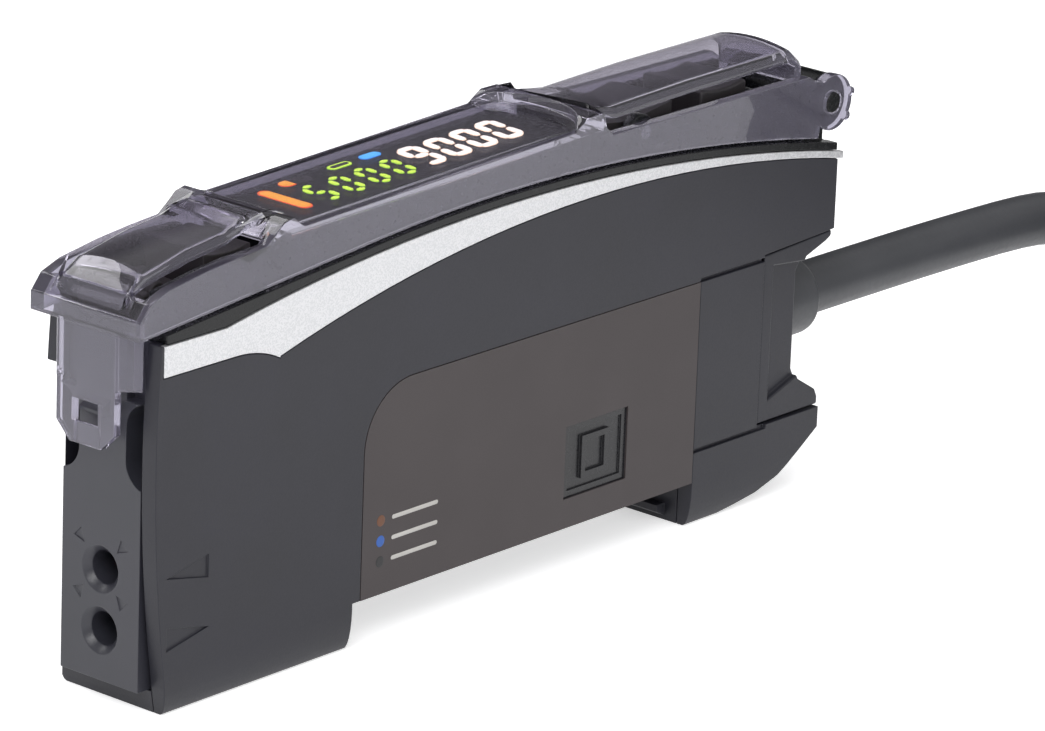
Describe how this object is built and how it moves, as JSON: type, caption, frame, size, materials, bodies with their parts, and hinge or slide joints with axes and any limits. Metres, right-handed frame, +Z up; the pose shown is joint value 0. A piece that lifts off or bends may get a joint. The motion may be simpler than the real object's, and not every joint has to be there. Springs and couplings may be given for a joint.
{
  "type": "fibre optic sensor amplifier",
  "caption": "Slim rail-mounted fibre sensor amplifier with a hinged smoke cover over its display and keys, fibre bores at one end and a fixed cable at the other.",
  "frame": {"origin": "under the middle of the amplifier, on the plane of its feet, cable left out", "axes": "+X from the fibre end to the cable, +Y across the width away from the labelled side, +Z up"},
  "size_m": [0.1706, 0.0659, 0.033],
  "materials": {
    "case_plastic": "fine-textured charcoal polycarbonate",
    "panel_black": "black polycarbonate",
    "silver_trim": "silver metallic",
    "label_film": "matte printed film",
    "dark_window": "dark infrared-clear plastic",
    "cable_jacket": "soft PVC jacket",
    "board_green": "glass-epoxy circuit board",
    "chip_black": "moulded component",
    "screen_black": "black display screen",
    "white_light": "lit white digits",
    "green_light": "lit green digits",
    "orange_light": "lit lamps",
    "red_epoxy": "clear red epoxy",
    "steel": "ground",
    "key_grey": "dark grey moulding",
    "smoke_cover": "smoke-clear polycarbonate",
    "tie_black": "black nylon",
    "brown_wire": "insulated core",
    "blue_wire": "insulated core"
  },
  "bodies": {
    "case": {"main_case": "case_plastic", "side_cover": "case_plastic", "fibre_block": "case_plastic", "cable_clamp": "case_plastic", "panel_frame": "panel_black", "near_trim": "silver_trim", "far_trim": "silver_trim", "side_label": "label_film", "near_signal_window": "dark_window", "far_signal_window": "dark_window", "cable_bushing": "cable_jacket", "main_board": "board_green", "key_board": "board_green", "board_parts": "chip_black", "key_switches": "chip_black", "display_module": "panel_black", "display_screen": "screen_black", "level_digits": "white_light", "threshold_digits": "green_light", "status_lamps": "orange_light", "emitter": "red_epoxy", "receiver": "dark_window", "rocker_pin": "steel", "cable_run": "cable_jacket", "cable_coil": "cable_jacket", "cable_tail": "cable_jacket", "coil_ties": "tie_black", "brown_core": "brown_wire", "blue_core": "blue_wire", "black_core": "tie_black"},
    "cover": {"protective_cover": "smoke_cover"},
    "tune_key": {"tune_key": "key_grey"},
    "mode_key": {"mode_key": "key_grey"},
    "rocker": {"updown_rocker": "key_grey"},
    "lever": {"lock_lever": "key_grey"},
    "grip": {"fibre_clamp": "steel"}
  },
  "joints": [
    {"name": "cover_hinge", "type": "hinge", "parent": "case", "child": "cover", "pos_m": [0.0338, 0, 0.0285], "axis": [0, 1, 0], "range_deg": [0, 130]},
    {"name": "tune_press", "type": "slide", "parent": "case", "child": "tune_key", "axis": [0, 0, -1], "range_m": [0, 0.0004], "stiffness_N_per_m": 800},
    {"name": "mode_press", "type": "slide", "parent": "case", "child": "mode_key", "axis": [0, 0, -1], "range_m": [0, 0.0004], "stiffness_N_per_m": 800},
    {"name": "rocker_tilt", "type": "hinge", "parent": "case", "child": "rocker", "pos_m": [0.0137, 0, 0.0301], "axis": [0, 1, 0], "range_deg": [-3, 3], "stiffness_Nm_per_rad": 0.02},
    {"name": "lever_lift", "type": "hinge", "parent": "case", "child": "lever", "pos_m": [-0.0337, 0, 0.0271], "axis": [0, -1, 0], "range_deg": [0, 18]},
    {"name": "grip_press", "type": "slide", "parent": "case", "child": "grip", "axis": [0, 0, -1], "range_m": [0, 0.0002], "stiffness_N_per_m": 800}
  ]
}
